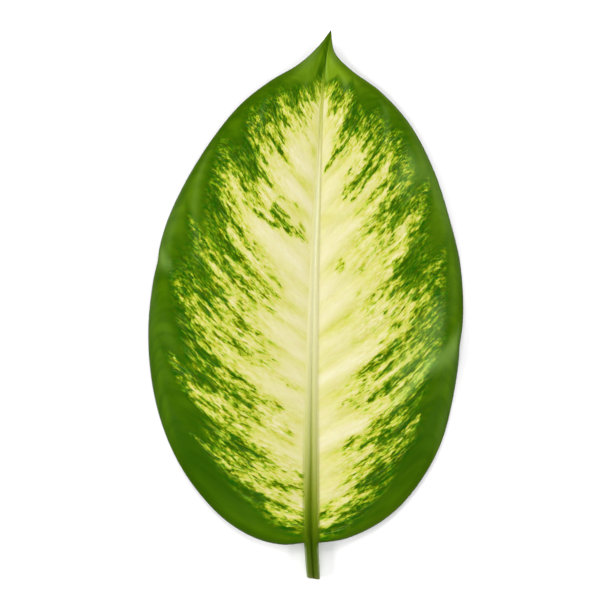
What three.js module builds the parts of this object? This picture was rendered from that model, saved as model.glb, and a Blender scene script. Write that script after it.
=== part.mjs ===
// One cut leaf of a variegated dieffenbachia, lying face up. It grew as one piece: a broad
// blade with sunken side veins, a midrib that stands out as a keel below, and a petiole stub.
// Millimetres, +Z up, +Y towards the tip, the surface that it lies on at z = 0.

import * as THREE from "three";

// Plan of the leaf, [x, y] in mm from the top of the petiole, each line from there to the tip.
const TIP = [9, 231];
const LEFT_MARGIN = [
  [-3.2, 0], [-13, -0.8], [-25, 2], [-39, 10.3], [-51.6, 23.6], [-60.7, 37.6],
  [-68, 55.3], [-72.3, 75.5], [-73.4, 96.8], [-71.2, 118], [-66.3, 141], [-58.6, 159],
  [-45.1, 181.3], [-31.8, 197.6], [-18.7, 208], [-5.2, 216], [3.2, 223.6], TIP,
];
const RIGHT_MARGIN = [
  [3.4, 0], [15.6, 1.8], [29.4, 8], [40.9, 17], [51.7, 31], [59.2, 46],
  [64, 64.3], [67.3, 86.8], [68.7, 107], [67.3, 126.4], [63.4, 143], [55.5, 167.7],
  [44.8, 188.4], [31.5, 203.3], [18, 213.2], [10.7, 221], TIP,
];
const MIDRIB_LINE = [[0.1, 0], [0, 50], [1, 109], [2.7, 154], [4.9, 199], [6.5, 217], TIP];
const MIDRIB_HALF_WIDTH = 3.3; // at the petiole, running out to nothing at the tip
const MIDRIB_TAPER = 1.7;

// Side veins. "a" is the share of the midrib's length at which a vein leaves the midrib.
const BASE_SHARE = 0.28; // share of the margin that is the round base of the blade
const BASE_FADE = 0.1; // veins below this "a" bend over towards the base margin
const VEIN_LEAVING_ANGLE = 22; // degrees above square to the midrib, at the petiole
const VEIN_STEEPENING = 55; // degrees more than that at the tip
const VEIN_STEEPENING_POWER = 1.5;
const VEIN_MARGIN_ANGLE = 14; // between a vein and the margin where they meet, near the base
const VEIN_HANDLE = 0.36; // how far each end's direction holds, as a share of the chord
const VEIN_CROWDING = 1.78; // veins end closer together towards the tip of the margin
const VEIN_CROWDING_EASE = 0.45;
const LEFT_VEINS = [
  0.012, 0.062, 0.12, 0.18, 0.24, 0.295, 0.345, 0.395, 0.44, 0.49, 0.545, 0.61, 0.67, 0.73,
  0.79, 0.85, 0.91, 0.97,
];
const RIGHT_VEINS = [
  0.015, 0.072, 0.115, 0.16, 0.218, 0.275, 0.335, 0.4, 0.46, 0.52, 0.58, 0.635, 0.69, 0.75,
  0.81, 0.87, 0.93, 0.98,
];

// Heights above the surface, in mm.
const KEEL_DEPTH = 3.5; // from the underside of the blade down to the keel, at the petiole
const KEEL_TIP_SHARE = 0.16; // what is left of that depth at the tip
const KEEL_TAPER = 0.8;
const KEEL_FLAT_SHARE = 0.3; // middle share of the keel that is flat and lies on the surface
const KEEL_LIFT_FROM = 0.66; // "a" from which the keel leaves the surface
const TIP_LIFT = 1.8;
const BLADE_CAMBER = 0.06; // height of the arch between midrib and margin per mm of vein
const LEFT_RIM = [
  [0, 3.5], [0.06, 2.1], [0.15, 0.9], [0.3, 0], [0.42, 0.8], [0.53, 1.7], [0.6, 0.3],
  [0.72, 1.3], [0.86, 1.2], [1, 2.8],
];
const RIGHT_RIM = [
  [0, 3.5], [0.07, 2], [0.18, 0.8], [0.33, 0], [0.46, 1.9], [0.53, 0.2], [0.66, 1.3],
  [0.82, 1], [0.92, 1.7], [1, 2.8],
];

// Thickness and relief, in mm.
const THICKNESS_AT_MARGIN = 0.6;
const THICKNESS_AT_MIDRIB = 1.1;
const THICKNESS_POWER = 3; // how soon the blade thins on its way out to the margin
const MIDRIB_CROWN = 1; // the midrib stands this far above the blade at the petiole
const MIDRIB_SQUARENESS = 4; // 2 would make its crown round, more makes it flat with round edges
const MIDRIB_GROOVE = 0.75; // depth of the channel along its middle
const MIDRIB_GROOVE_REACH = 0.28; // half width of the channel, as a share of the midrib's
const MIDRIB_FLATTENING = 1.5; // the power of "a" by which crown and channel run out
const VEIN_RELIEF = 0.75; // swelling of the blade between two sunken side veins
const VEIN_RELIEF_POWER = 0.8; // below 1 the veins are narrow and the swellings are broad
const RELIEF_GROWS_TO = 0.08; // the swellings are whole between these two shares of the vein
const RELIEF_FADES_FROM = 0.35;
const RELIEF_ENDS_AT = 0.95;
const FOLD_REACH = 6; // half width of a fold in the blade
const FOLDS = [
  { side: 1, from: [22, 61], to: [67, 88.5], height: 1.2, pinch: 0.5 },
  { side: -1, from: [-57, 122], to: [-69.5, 126.5], height: 1, pinch: 0.6 },
];

// Petiole stub, running on from the midrib.
const PETIOLE_LENGTH = 16.4;
const PETIOLE_SHIFT = 1; // its cut end lies this far to the right of its top
const PETIOLE_END_HALF_WIDTH = 3;
const PETIOLE_CUT_CHAMFER = 0.6;
const PETIOLE_CUT_SHRINK = 0.2; // the share that the chamfer takes off its width and height

// How finely the solid is faceted.
const BLADE_ROWS = 78;
const BLADE_COLUMNS = 9;
const COLUMN_CROWDING = 1.15; // columns lie closer together near the midrib
const COLUMN_SHARES = [...Array(BLADE_COLUMNS + 1).keys()].map(
  (k) => (k / BLADE_COLUMNS) ** COLUMN_CROWDING,
);
const MIDRIB_COLUMNS = [-1, -0.85, -0.6, -0.3, 0, 0.3, 0.6, 0.85, 1];
const PETIOLE_ROWS = 5;

const radians = THREE.MathUtils.degToRad;
const { lerp, smoothstep, clamp } = THREE.MathUtils;

function smoothLine(points) {
  const corners = points.map(([x, y]) => new THREE.Vector3(x, y, 0));
  const line = new THREE.CatmullRomCurve3(corners, false, "centripetal");
  line.arcLengthDivisions = 1200;
  return line;
}

const midribLine = smoothLine(MIDRIB_LINE);
const leaf = {
  [-1]: { margin: smoothLine(LEFT_MARGIN), rim: LEFT_RIM, veins: LEFT_VEINS },
  [1]: { margin: smoothLine(RIGHT_MARGIN), rim: RIGHT_RIM, veins: RIGHT_VEINS },
};

// A value between listed ones, with a level tangent at each listed one.
function eased(list, at) {
  const next = list.findIndex(([place]) => place >= at);
  if (next <= 0) return list[Math.max(next, 0)][1];
  const [[from, low], [to, high]] = [list[next - 1], list[next]];
  return lerp(low, high, smoothstep(at, from, to));
}

// The midrib band's edge, where the blade starts.
function midribEdge(side, a) {
  const middle = midribLine.getPointAt(a);
  const half = MIDRIB_HALF_WIDTH * (1 - a ** MIDRIB_TAPER);
  return new THREE.Vector2(middle.x + side * half, middle.y);
}

function marginPoint(side, share) {
  const point = leaf[side].margin.getPointAt(clamp(share, 0, 1));
  return new THREE.Vector2(point.x, point.y);
}

// The share of the margin at which a side vein ends.
function marginShare(a) {
  const crowding = VEIN_CROWDING - VEIN_CROWDING_EASE * a * a;
  return lerp(BASE_SHARE, 1, 1 - (1 - a) ** crowding);
}

// A side vein in plan, from the midrib's edge out to the margin.
function sideVein(side, a) {
  const start = midribEdge(side, a);
  const end = marginPoint(side, marginShare(a));
  const step = leaf[side].margin.getTangentAt(marginShare(a));
  const leaving = radians(VEIN_LEAVING_ANGLE + VEIN_STEEPENING * a ** VEIN_STEEPENING_POWER);
  const along = Math.atan2(step.y, side * step.x) - radians(VEIN_MARGIN_ANGLE * (1 - a));
  const reach = VEIN_HANDLE * start.distanceTo(end);
  const heading = (angle) => new THREE.Vector2(side * Math.cos(angle), Math.sin(angle));
  const first = start.clone().addScaledVector(heading(leaving), reach);
  const second = end.clone().addScaledVector(heading(along), -reach);
  return new THREE.CubicBezierCurve(start, first, second, end);
}

// A fold that runs out to the margin: its height at a point, and how far it pulls the margin in.
function foldAt(side, point) {
  let height = 0;
  let pinch = 0;
  for (const fold of FOLDS.filter((one) => one.side === side)) {
    const start = new THREE.Vector2(...fold.from);
    const run = new THREE.Vector2(...fold.to).sub(start);
    const offset = point.clone().sub(start);
    const along = offset.dot(run) / run.lengthSq();
    const across = offset.cross(run) / run.length();
    const ridge = Math.exp(-((across / FOLD_REACH) ** 2)) * smoothstep(along, 0, 1);
    height += fold.height * ridge;
    pinch += fold.pinch * ridge * ridge;
  }
  return { height, pinch };
}

// 0 on each side vein and 1 midway between two of them.
function betweenVeins(side, a) {
  const { veins } = leaf[side];
  const next = veins.findIndex((place) => place > a);
  if (next < 0) return 0;
  const from = next === 0 ? 0 : veins[next - 1];
  const share = (a - from) / (veins[next] - from);
  return Math.sin(Math.PI * share) ** VEIN_RELIEF_POWER;
}

const keelBottom = (a) => TIP_LIFT * smoothstep(a, KEEL_LIFT_FROM, 1);
const keelDepth = (a) => KEEL_DEPTH * lerp(1, KEEL_TIP_SHARE, a ** KEEL_TAPER);
const bladeJoin = (a) => keelBottom(a) + keelDepth(a);

function thickness(r) {
  return lerp(THICKNESS_AT_MARGIN, THICKNESS_AT_MIDRIB, (1 - r) ** THICKNESS_POWER);
}

// Height of the blade's underside before the base of the blade is bent down to its margin.
function archHeight(side, a, r, veinLength) {
  const rim = eased(leaf[side].rim, marginShare(a));
  const arch = BLADE_CAMBER * veinLength * 4 * r * (1 - r);
  return lerp(bladeJoin(a), rim, smoothstep(r, 0, 1)) + arch;
}

function veinRelief(side, a, r) {
  const grows = smoothstep(r, 0, RELIEF_GROWS_TO);
  const fades = 1 - smoothstep(r, RELIEF_FADES_FROM, RELIEF_ENDS_AT);
  const crowded = Math.sqrt(1 - a);
  return VEIN_RELIEF * grows * fades * crowded * (betweenVeins(side, a) - 0.5);
}

// One row of the blade's underside on one side, at the listed shares of the vein.
function bladeRow(side, a, shares) {
  const vein = sideVein(side, a);
  const baseVein = sideVein(side, 0);
  const toBase = Math.max(0, 1 - a / BASE_FADE) ** 2;
  const chord = vein.v0.distanceTo(vein.v3);
  const baseChord = baseVein.v0.distanceTo(baseVein.v3);
  return shares.map((r) => {
    const plan = vein.getPoint(r);
    const basePlan = marginPoint(side, BASE_SHARE * r).sub(baseVein.getPoint(r));
    plan.addScaledVector(basePlan, toBase);
    const baseRim = eased(leaf[side].rim, BASE_SHARE * r);
    const baseDrop = baseRim - archHeight(side, 0, r, baseChord);
    const fold = foldAt(side, plan);
    const relief = veinRelief(side, a, r) * (1 - toBase);
    const height = archHeight(side, a, r, chord) + toBase * baseDrop + relief + fold.height;
    plan.x -= side * fold.pinch;
    return { x: plan.x, y: plan.y, low: Math.max(0, height), thick: thickness(r) };
  });
}

// The midrib's section between its two edges, keel below and channelled crown above.
// "s" runs from -1 at the left edge to 1 at the right edge.
function midribSection(left, right, bottom, crown, groove) {
  return MIDRIB_COLUMNS.slice(1, -1).map((s) => {
    const share = (s + 1) / 2;
    const round = clamp((Math.abs(s) - KEEL_FLAT_SHARE) / (1 - KEEL_FLAT_SHARE), 0, 1);
    const edgeLow = lerp(left.low, right.low, share);
    const low = lerp(bottom, edgeLow, 1 - Math.sqrt(1 - round * round));
    const channel = groove * Math.exp(-((s / MIDRIB_GROOVE_REACH) ** 2));
    const top = edgeLow + left.thick + crown * (1 - s ** MIDRIB_SQUARENESS) - channel;
    const x = lerp(left.x, right.x, share);
    const y = lerp(left.y, right.y, share);
    return { x, y, low, thick: top - low };
  });
}

// A whole row across the leaf at one "a", from the left margin to the right margin.
function leafRow(a) {
  const left = bladeRow(-1, a, COLUMN_SHARES);
  const right = bladeRow(1, a, COLUMN_SHARES);
  const relief = 1 - a ** MIDRIB_FLATTENING;
  const crown = MIDRIB_CROWN * relief;
  const groove = MIDRIB_GROOVE * relief;
  const middle = midribSection(left[0], right[0], keelBottom(a), crown, groove);
  return [...left.reverse(), ...middle, ...right];
}

// A row across the petiole, "down" below the blade, drawn in towards its core by "shrink".
function petioleRow(down, shrink) {
  const share = down / PETIOLE_LENGTH;
  const centre = MIDRIB_LINE[0][0] + PETIOLE_SHIFT * share;
  const half = lerp(MIDRIB_HALF_WIDTH, PETIOLE_END_HALF_WIDTH, share);
  const [left, right] = [-1, 1].map((side) => ({
    x: centre + side * half,
    y: -down,
    low: KEEL_DEPTH,
    thick: THICKNESS_AT_MIDRIB,
  }));
  const middle = midribSection(left, right, 0, MIDRIB_CROWN, MIDRIB_GROOVE);
  return [left, ...middle, right].map((spot) => ({
    x: lerp(spot.x, centre, shrink),
    y: spot.y,
    low: lerp(spot.low, KEEL_DEPTH, shrink),
    thick: spot.thick * (1 - shrink),
  }));
}

// Joins the rows into one closed surface, split alike on its upper and lower face.
function leafGeometry() {
  const corners = [];
  const faces = [];
  const place = (spot) => {
    const below = corners.push([spot.x, spot.y, spot.low]) - 1;
    const above = corners.push([spot.x, spot.y, spot.low + spot.thick]) - 1;
    return { above, below };
  };
  const quad = (p, q, r, s) => faces.push([p, q, r], [p, r, s]);
  const sheet = (row, next) => {
    for (let j = 0; j + 1 < row.length; j += 1) {
      quad(row[j].above, row[j + 1].above, next[j + 1].above, next[j].above);
      faces.push([row[j].below, next[j + 1].below, row[j + 1].below]);
      faces.push([row[j].below, next[j].below, next[j + 1].below]);
    }
  };
  const wall = (start, end) => quad(start.below, end.below, end.above, start.above);

  const bladeRows = [];
  for (let i = 0; i < BLADE_ROWS; i += 1) {
    bladeRows.push(leafRow(i / BLADE_ROWS).map(place));
  }
  const tip = place({ x: TIP[0], y: TIP[1], low: bladeJoin(1), thick: THICKNESS_AT_MARGIN });
  for (let i = 0; i + 1 < BLADE_ROWS; i += 1) sheet(bladeRows[i], bladeRows[i + 1]);
  const last = bladeRows[BLADE_ROWS - 1];
  for (let j = 0; j + 1 < last.length; j += 1) {
    faces.push([last[j].above, last[j + 1].above, tip.above]);
    faces.push([last[j].below, tip.below, last[j + 1].below]);
  }
  const leftEdge = [...bladeRows.map((row) => row[0]), tip];
  const rightEdge = [...bladeRows.map((row) => row[row.length - 1]), tip];
  for (let i = 0; i < BLADE_ROWS; i += 1) {
    wall(leftEdge[i + 1], leftEdge[i]);
    wall(rightEdge[i], rightEdge[i + 1]);
  }

  // The base margin on both sides of the petiole, then the petiole itself.
  const base = bladeRows[0];
  const strip = base.slice(BLADE_COLUMNS, BLADE_COLUMNS + MIDRIB_COLUMNS.length);
  for (let j = 0; j < BLADE_COLUMNS; j += 1) {
    wall(base[j], base[j + 1]);
    wall(base[base.length - 2 - j], base[base.length - 1 - j]);
  }
  const straight = PETIOLE_LENGTH - PETIOLE_CUT_CHAMFER;
  const rings = [strip];
  for (let k = 1; k <= PETIOLE_ROWS; k += 1) {
    rings.push(petioleRow((straight * k) / PETIOLE_ROWS, 0).map(place));
  }
  rings.push(petioleRow(PETIOLE_LENGTH, PETIOLE_CUT_SHRINK).map(place));
  for (let k = 0; k + 1 < rings.length; k += 1) {
    const [upper, lower] = [rings[k], rings[k + 1]];
    sheet(lower, upper);
    wall(upper[0], lower[0]);
    wall(lower[lower.length - 1], upper[upper.length - 1]);
  }
  const cut = rings[rings.length - 1];
  for (let j = 0; j + 1 < cut.length; j += 1) wall(cut[j], cut[j + 1]);

  const geometry = new THREE.BufferGeometry();
  geometry.setAttribute("position", new THREE.Float32BufferAttribute(corners.flat(), 3));
  geometry.setIndex(faces.flat());
  geometry.computeVertexNormals();
  geometry.computeBoundingBox();
  return geometry;
}

const geometry = leafGeometry();
const material = new THREE.MeshStandardMaterial({ color: 0x7fa53a, roughness: 0.4, metalness: 0 });
const mesh = new THREE.Mesh(geometry, material);
mesh.name = "leaf";

// The origin is under the middle of the leaf's bounding box.
const middle = geometry.boundingBox.getCenter(new THREE.Vector3());
mesh.position.set(-middle.x, -middle.y, 0);

const group = new THREE.Group();
group.add(mesh);

export default group;
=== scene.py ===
# One cut leaf of a variegated dieffenbachia, lying face up on a pale floor. The leaf is built
# finer than the frame's solid, from the same outline, veins and heights, and is coloured by a
# material that follows its veins. Lengths of the leaf are in mm until the mesh is made.
import math

import bmesh
import bpy
import numpy as np
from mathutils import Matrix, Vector
from mathutils.kdtree import KDTree


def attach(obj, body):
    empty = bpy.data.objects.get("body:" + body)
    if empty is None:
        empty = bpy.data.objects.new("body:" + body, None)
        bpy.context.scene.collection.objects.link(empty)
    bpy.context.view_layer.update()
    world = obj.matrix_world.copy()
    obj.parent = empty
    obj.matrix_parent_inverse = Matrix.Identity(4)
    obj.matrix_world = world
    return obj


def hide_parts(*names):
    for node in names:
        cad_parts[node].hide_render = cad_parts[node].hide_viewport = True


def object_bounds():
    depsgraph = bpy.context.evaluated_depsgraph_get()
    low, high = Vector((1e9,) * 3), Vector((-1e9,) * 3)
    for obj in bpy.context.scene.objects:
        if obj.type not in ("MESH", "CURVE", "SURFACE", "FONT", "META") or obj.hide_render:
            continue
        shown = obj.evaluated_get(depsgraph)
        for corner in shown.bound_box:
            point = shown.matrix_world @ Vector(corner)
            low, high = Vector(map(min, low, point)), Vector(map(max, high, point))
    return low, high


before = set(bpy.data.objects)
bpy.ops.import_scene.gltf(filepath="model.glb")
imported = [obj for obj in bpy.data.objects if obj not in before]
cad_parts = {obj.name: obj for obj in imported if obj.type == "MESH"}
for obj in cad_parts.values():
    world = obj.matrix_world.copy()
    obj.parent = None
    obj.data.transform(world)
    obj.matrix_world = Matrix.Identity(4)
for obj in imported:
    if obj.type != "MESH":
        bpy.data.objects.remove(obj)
cad_low, cad_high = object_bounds()

MM = 0.001

# Plan of the leaf from the top of the petiole, each line from there to the tip.
TIP = (9, 231)
LEFT_MARGIN = [
    (-3.2, 0), (-13, -0.8), (-25, 2), (-39, 10.3), (-51.6, 23.6), (-60.7, 37.6),
    (-68, 55.3), (-72.3, 75.5), (-73.4, 96.8), (-71.2, 118), (-66.3, 141), (-58.6, 159),
    (-45.1, 181.3), (-31.8, 197.6), (-18.7, 208), (-5.2, 216), (3.2, 223.6), TIP,
]
RIGHT_MARGIN = [
    (3.4, 0), (15.6, 1.8), (29.4, 8), (40.9, 17), (51.7, 31), (59.2, 46),
    (64, 64.3), (67.3, 86.8), (68.7, 107), (67.3, 126.4), (63.4, 143), (55.5, 167.7),
    (44.8, 188.4), (31.5, 203.3), (18, 213.2), (10.7, 221), TIP,
]
MIDRIB_LINE = [(0.1, 0), (0, 50), (1, 109), (2.7, 154), (4.9, 199), (6.5, 217), TIP]
MIDRIB_HALF_WIDTH = 3.3
MIDRIB_TAPER = 1.7
LEAF_LENGTH = TIP[1]

# Side veins. "a" is the share of the midrib's length at which a vein leaves it, and "r" is the
# share of the way along the vein, 0 at the midrib and 1 at the margin.
BASE_SHARE = 0.28
BASE_FADE = 0.1
VEIN_LEAVING_ANGLE = 22
VEIN_STEEPENING = 55
VEIN_STEEPENING_POWER = 1.5
VEIN_MARGIN_ANGLE = 14
VEIN_HANDLE = 0.36  # how far each end's direction holds, as a share of the chord
VEIN_CROWDING = 1.78  # veins end closer together towards the tip
VEIN_CROWDING_EASE = 0.45
LEFT_VEINS = [
    0.012, 0.062, 0.12, 0.18, 0.24, 0.295, 0.345, 0.395, 0.44, 0.49, 0.545, 0.61, 0.67, 0.73,
    0.79, 0.85, 0.91, 0.97,
]
RIGHT_VEINS = [
    0.015, 0.072, 0.115, 0.16, 0.218, 0.275, 0.335, 0.4, 0.46, 0.52, 0.58, 0.635, 0.69, 0.75,
    0.81, 0.87, 0.93, 0.98,
]

# Heights, thickness and relief.
KEEL_DEPTH = 3.5
KEEL_TIP_SHARE = 0.16  # what is left of the keel's depth at the tip
KEEL_TAPER = 0.8  # the power of "a" by which it lessens
KEEL_FLAT_SHARE = 0.3  # the middle of the keel that lies on the floor
KEEL_LIFT_FROM = 0.66  # "a" from which the keel leaves the floor
TIP_LIFT = 1.8
BLADE_CAMBER = 0.06
LEFT_RIM = [
    (0, 3.5), (0.06, 2.1), (0.15, 0.9), (0.3, 0), (0.42, 0.8), (0.53, 1.7), (0.6, 0.3),
    (0.72, 1.3), (0.86, 1.2), (1, 2.8),
]
RIGHT_RIM = [
    (0, 3.5), (0.07, 2), (0.18, 0.8), (0.33, 0), (0.46, 1.9), (0.53, 0.2), (0.66, 1.3),
    (0.82, 1), (0.92, 1.7), (1, 2.8),
]
THICKNESS_AT_MARGIN = 0.6
THICKNESS_AT_MIDRIB = 1.1
THICKNESS_POWER = 3  # how soon the blade thins on its way to the margin
MIDRIB_CROWN = 1
MIDRIB_SQUARENESS = 4  # 2 would make its crown round
MIDRIB_GROOVE = 0.75
MIDRIB_GROOVE_REACH = 0.28  # half width, as a share of the midrib's
MIDRIB_FLATTENING = 1.5  # the power of "a" by which crown and groove run out
VEIN_RELIEF = 0.75
VEIN_RELIEF_POWER = 0.8  # below 1 the veins are narrow and the swellings broad
RELIEF_GROWS_TO = 0.08  # the swellings are whole between this share of a vein
RELIEF_FADES_FROM = 0.35  # and this one
RELIEF_ENDS_AT = 0.95
FOLD_REACH = 6
FOLD_CREST_REACH = 1.8
FOLD_CREST_HEIGHT = 0.3
FOLDS = [
    {"side": 1, "from": (22, 61), "to": (67, 88.5), "height": 1.2, "pinch": 0.5},
    {"side": -1, "from": (-57, 122), "to": (-69.5, 126.5), "height": 1, "pinch": 0.6},
]
EDGE_ROUNDING = 0.35  # the blade thins out to its edge within this distance

# Petiole stub. The rings of its cut end, from the outside in, give how far short of the full
# length they are, how much narrower than the petiole, and how far they have the core's colour.
PETIOLE_LENGTH = 16.4
PETIOLE_SHIFT = 1
PETIOLE_END_HALF_WIDTH = 3
PETIOLE_BLEND = 3  # from the blade's flat joint to the petiole's round section
CUT_SLANT = 0.9  # the cut end is this much shorter on the left
CUT_SLANT_REACH = 5
CUT_ROUNDING = 0.4
CUT_RINGS = [
    (0.15, 0.04, 0), (0, 0.12, 0.02), (0.08, 0.22, 0.25), (0.2, 0.5, 0.6), (0.15, 0.8, 0.9),
]
CUT_MIDDLE = 0.15
PETIOLE_FROM_EDGE = 5  # counts as this far from the margin

# Fineness of the mesh.
ROWS = 340
COLUMNS = 60
COLUMN_CROWDING = 1.08
STRIP_COLUMNS = 14
PETIOLE_ROWS = 24

# How the variegation is laid out.
SIDE_APART = 40  # keeps the streaks of the two halves unlike each other
SPECKLED_LEVEL = 0.3  # the greenness on the first line of the variegation
GREEN_LEVEL = 0.6  # and on the second one
SOLID_LEVEL = 1.15
FIRST_FLECKS_POWER = 1.5
GREENING = 1.7  # how fast greenness rises beyond the second line, by "r"
NARROWEST_ZONE = 0.05
MARKED_LEVEL = 0.88  # the greenest that marks make it
MARK_STRENGTH = 0.6
MARK_SOFTNESS = 0.012  # of the ends of marks
SHEEN_SOFTNESS = 0.05  # of the ends of painted sheen, lighter places with painted light, and painted relief shade
MIDRIB_FOOT_SHADE = 0.25  # how much greener the blade is painted beside the foot of the midrib, as painted shade
MIDRIB_FOOT_SHADE_WIDTH = 3
MIDRIB_FOOT_SHADE_FADE = (0.02, 0.2)
FLECKS_BEND_FROM = 0.55  # beyond this share of a vein the flecks turn towards the tip
FLECKS_BEND = 0.13

# Variegation, with "a" and "r" in percent. The blade turns from clear cream at the midrib to
# speckled at the first line of (a, r), to mostly green at the second one, and to solid green
# beyond it.
LEFT_CLEAR = [
    (0, -10), (3, -10), (6, -3), (10, 0), (13, -2), (15, 3), (16.5, 31), (17.5, 28), (19, 10),
    (22, 8), (25, 19), (26.5, 35), (27.5, 45), (28.5, 30), (30, 20), (34, 25), (37.5, 30), (39, 37),
    (41, 20), (45, 27), (48, 33), (50, 50), (52, 56), (54, 50), (55.5, 37), (61, 36), (63, 42),
    (65.5, 47), (68, 36), (72, 37), (75, 40), (77, 23), (81, 24), (84, 8), (88, -3), (91, -30),
    (100, -40),
]
LEFT_SOLID = [
    (0, -20), (3, 0), (5.5, 20), (8.5, 40), (10, 32), (12.3, 33), (14, 29), (15, 45), (17.5, 57.5),
    (18.5, 52), (20, 38), (22.5, 46), (27, 54), (29.5, 63), (32, 52), (34, 52), (36, 46), (38, 52),
    (40, 59), (42, 43), (46, 50), (50, 58), (54, 67), (57, 55), (60, 43), (65, 60), (68, 54),
    (73.5, 52), (75.5, 57), (77, 45), (81, 40), (83, 27), (86, 12), (89, 2), (91, -10), (93, -30),
    (100, -40),
]
RIGHT_CLEAR = [
    (0, -10), (3, -5), (6, 3), (10.5, 21), (14.5, 16), (17.5, 23), (20, 35), (23, 21), (27, 20),
    (30.5, 30), (33.3, 46), (35, 33), (39, 32), (42, 40), (44.5, 50), (46, 47), (48, 37), (51, 36),
    (53.5, 33), (57, 40), (60, 55), (62, 22), (66, 36), (68.5, 40), (71.5, 22), (74.5, 26),
    (78, 33), (83, 17), (86, 3), (88, -10), (90, -30), (100, -40),
]
RIGHT_SOLID = [
    (0, -20), (1.5, 0), (4, 17), (6, 27), (8, 40), (10.5, 42), (13, 36), (15, 40), (18, 49),
    (20, 56), (29, 55), (33.3, 65), (35.5, 54), (39, 47), (41.5, 50), (46.5, 68), (50, 48),
    (55, 55), (60, 59), (66.5, 50), (70, 52.5), (73.5, 35), (76, 38), (80, 53), (82, 35), (86, 32),
    (87.5, 8), (89, -15), (91, -30), (100, -40),
]

# Marks along the veins: "a", "r" at both ends, half width, and how much greener the blade is
# there, or paler where that is negative. Marks across veins give "a" and "r" at both ends.
LEFT_MARKS = [
    (8, -5, 5, 3, -0.5), (5, 20, 50, 1.2, 0.5), (6, 16, 46, 1, 0.5), (8.7, 50, 65, 0.8, -0.35),
    (10, 3, 6, 0.8, 0.4), (10, 24, 32, 0.9, 0.4), (13, 14, 36, 1.2, 0.3), (18, 40, 50, 1.5, -0.35),
    (18.5, 65, 72, 1, -0.4), (19.8, 43, 55, 1.3, 0.5), (20.5, 42, 50, 1.1, 0.5),
    (21, 24, 40, 1.2, 0.4), (19.5, 22, 30, 0.8, 0.35), (20, 5, 11, 0.8, 0.35), (18, 4, 7, 0.7, 0.3),
    (22, 42, 55, 0.9, 0.45), (23, 15, 19, 0.7, 0.4), (23, 27, 34, 0.8, 0.4), (24, 9, 13, 0.7, 0.35),
    (24.8, 27, 45, 0.9, 0.55), (24.3, 42, 55, 1.2, 0.5), (29.3, 3.5, 5.5, 0.9, 0.9),
    (28.6, 7.5, 28.7, 9.5, 1.1, 0.9), (28.8, 11, 13, 0.9, 0.9), (29.8, 20, 30.3, 35, 0.9, 0.6),
    (31.5, 47, 55, 1, 0.5), (31.8, 15, 19, 0.7, 0.35), (31.7, 20, 24, 0.7, 0.35),
    (32.2, 29, 35, 0.8, 0.4), (33.1, 46, 58, 1.1, 0.5), (33.8, 28, 34.5, 33, 0.8, 0.35),
    (35.7, 40, 65, 1.2, 0.6), (36, 31, 36.6, 36, 0.9, 0.4), (36.6, 40, 60, 1, 0.45),
    (40, 10, 13, 0.6, 0.35), (40, 17, 20, 0.6, 0.35), (40.3, 40, 40, 55, 1, 0.45),
    (40.7, 17, 41.3, 30, 0.8, 0.5), (41.2, 33, 42.5, 60, 0.9, 0.5), (43.6, 15, 20, 0.7, 0.35),
    (43.7, 30, 50, 1, 0.4), (44, 50, 62, 1.2, 0.4), (45.8, 15, 46.5, 25, 0.7, 0.35),
    (46, 27, 45.5, 36, 0.8, 0.35), (45.7, 44, 50, 0.9, 0.4), (46.5, 50, 65, 1.8, 0.45),
    (47.1, 30, 40, 0.8, 0.4), (48.4, 37, 50, 1, 0.5), (48, 54, 70, 2, 0.45),
    (54.1, 34, 40, 1.1, 1.1), (54.8, 25, 54.5, 35, 1, 1), (55.5, 21, 26, 1.2, 1.1),
    (55.3, 46, 53, 0.9, 0.7), (56.6, 14, 57, 30, 1.2, 0.9), (57.5, 10, 57.3, 30, 1.2, 0.9),
    (57.8, 2, 12, 1.3, 0.9), (58.8, 17, 58.6, 30, 1.1, 0.9), (59.7, 5, 59.5, 10, 1, 0.9),
    (59.5, 42, 70, 4.5, 0.5), (61, 22, 26, 0.9, 0.8), (60.6, 33, 61, 42, 1, 0.8),
    (62.5, 12, 16, 0.9, 0.7), (61.5, 19, 21, 0.8, 0.7), (63, 40, 63.7, 53, 1, 0.5),
    (66.4, 39, 42, 0.7, 0.5), (67.8, 32, 50, 0.9, 0.6), (69.7, 37, 70.6, 44, 0.8, 0.5),
    (70.8, 45, 72, 65, 1, 0.4), (72.7, 40, 73, 52, 1, 0.4), (75, 45, 65, 1.6, -0.25),
    (75.7, 13, 76.3, 28, 0.7, 0.35), (77.4, 21, 78, 38, 0.9, 0.45), (77.5, 38, 76.7, 53, 0.9, 0.4),
    (79.5, 44, 62, 1.6, 0.4), (80, 32, 36, 0.7, 0.4), (81.4, 33, 82, 43, 0.8, 0.4),
    (83.2, 24, 28, 0.7, 0.4), (84.5, 10, 30, 0.8, 0.5), (83.5, 20, 84, 30, 0.8, 0.5),
    (82.5, 5, 7, 0.6, 0.6), (80.5, 15, 80.8, 18, 0.6, 0.6),
]
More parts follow.
